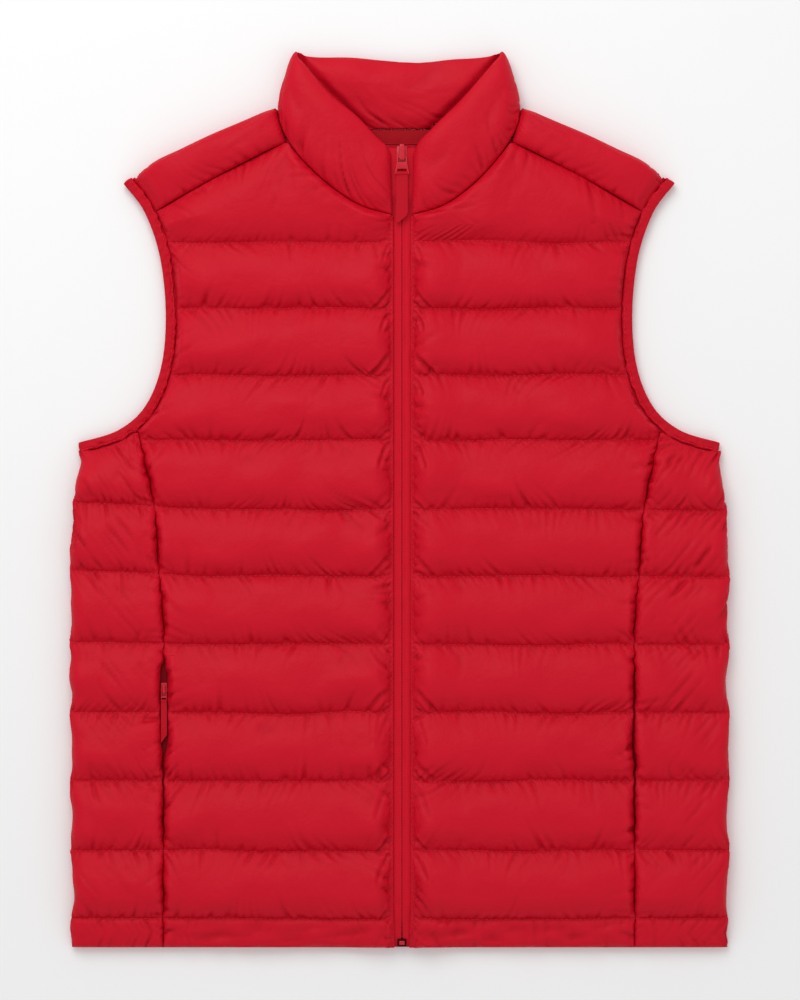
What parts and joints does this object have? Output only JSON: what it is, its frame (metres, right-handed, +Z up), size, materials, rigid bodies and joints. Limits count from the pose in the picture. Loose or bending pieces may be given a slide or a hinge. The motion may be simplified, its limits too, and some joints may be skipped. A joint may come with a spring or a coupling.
{
  "type": "sleeveless padded jacket",
  "caption": "Quilted sleeveless padded jacket with a stand collar, bound armholes and side seam pockets, laid flat with its front zip done up.",
  "frame": {"origin": "under the middle of the garment's outline, on the surface it lies on", "axes": "+X to the wearer's left, +Y from the hem towards the collar, +Z up through the front"},
  "size_m": [0.563, 0.764, 0.031],
  "materials": {
    "shell": "downproof nylon, soft semi-matte sheen, puckered at the stitched lines",
    "binding": "narrow folded nylon strip, matte",
    "tape": "woven polyester tape, matte",
    "coil": "nylon coil, satin",
    "painted_metal": "painted zinc, satin gloss"
  },
  "bodies": {
    "garment": {"front_left": "shell", "front_right": "shell", "side_left": "shell", "side_right": "shell", "shoulder_left": "shell", "shoulder_right": "shell", "back": "shell", "collar": "shell", "armhole_binding_left": "binding", "armhole_binding_right": "binding", "neck_tape": "tape", "zip_tape_left": "tape", "zip_tape_right": "tape", "zip_coil": "coil", "zip_slider": "painted_metal", "zip_foot": "painted_metal", "pocket_zip_left": "tape", "pocket_zip_right": "tape", "pocket_slider_right": "painted_metal"},
    "zip_pull": {"zip_pull_tab": "painted_metal", "zip_pull_strip": "binding"},
    "pocket_pull": {"pocket_pull_tab_right": "painted_metal", "pocket_pull_strip_right": "binding"}
  },
  "joints": [
    {"name": "zip_pull_hinge", "type": "hinge", "parent": "garment", "child": "zip_pull", "pos_m": [0.0025, 0.291, 0.02035], "axis": [-1, 0, 0], "range_deg": [0, 140]},
    {"name": "pocket_pull_hinge", "type": "hinge", "parent": "garment", "child": "pocket_pull", "pos_m": [-0.20014, -0.163, 0.0153], "axis": [-1, 0, 0], "range_deg": [0, 110]}
  ]
}
